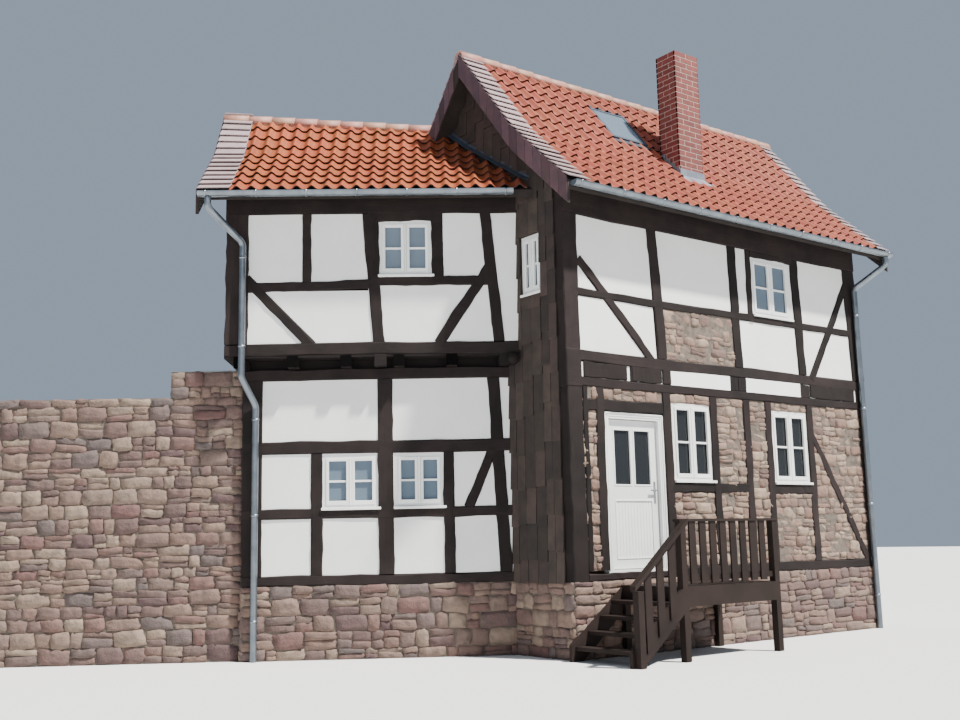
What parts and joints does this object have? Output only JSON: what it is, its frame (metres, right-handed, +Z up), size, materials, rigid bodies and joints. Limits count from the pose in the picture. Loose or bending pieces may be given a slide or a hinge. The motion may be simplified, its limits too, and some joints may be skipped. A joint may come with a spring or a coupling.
{
  "type": "half-timbered house",
  "caption": "Half-timbered house in two angled wings on a stone plinth, with jetty, tiled roofs, chimney, entrance stair and adjoining town wall.",
  "frame": {"origin": "on the ground, in the middle of the front left corner pier of the right wing's plinth", "axes": "+X along the right wing's front, +Y into the house, +Z up"},
  "size_m": [12.9272, 7.3355, 8.73],
  "materials": {
    "town_stone": "rough",
    "dark_timber": "matte",
    "plaster": "matte",
    "rubble_infill": "rough",
    "stone_slabs": "rough",
    "floor_boards": "matte",
    "clay_tiles": "matte",
    "verge_slate": "matte",
    "zinc": "matte",
    "brick": "rough",
    "white_paint": "satin",
    "glass": "gloss",
    "steel": "satin",
    "stair_timber": "matte"
  },
  "bodies": {
    "house": {"town_wall": "town_stone", "plinth": "town_stone", "left_lower_frame": "dark_timber", "left_upper_frame": "dark_timber", "left_end_frame": "dark_timber", "left_rear_frame": "dark_timber", "entrance_frame": "dark_timber", "right_lower_frame": "dark_timber", "right_storey_beams": "dark_timber", "right_upper_frame": "dark_timber", "right_rear_frame": "dark_timber", "left_lower_infill": "plaster", "left_upper_infill": "plaster", "left_end_infill": "plaster", "left_rear_infill": "plaster", "right_upper_infill": "plaster", "right_rear_infill": "plaster", "party_wall": "plaster", "right_lower_infill": "rubble_infill", "gable_wall": "stone_slabs", "ground_floor": "floor_boards", "left_upper_floor": "floor_boards", "right_upper_floor": "floor_boards", "attic_floor": "floor_boards", "left_front_roof": "clay_tiles", "left_rear_roof": "clay_tiles", "right_front_roof": "clay_tiles", "right_rear_roof": "clay_tiles", "ridge_tiles": "clay_tiles", "verge_boards": "verge_slate", "gutters": "zinc", "downpipes": "zinc", "roof_window_frame": "zinc", "chimney": "brick", "window_frames": "white_paint", "door_frame": "white_paint", "window_glass": "glass", "frame_hinges": "steel", "landing_deck": "stair_timber", "stair_flight": "stair_timber", "stair_balustrade": "stair_timber"},
    "door": {"door_leaf": "white_paint", "door_glass": "glass", "door_handle": "steel", "leaf_hinges": "steel"}
  },
  "joints": [
    {"name": "front_door_hinge", "type": "hinge", "parent": "house", "child": "door", "pos_m": [0.509, -0.067, 2.05], "axis": [0, 0, 1], "range_deg": [0, 95]}
  ]
}
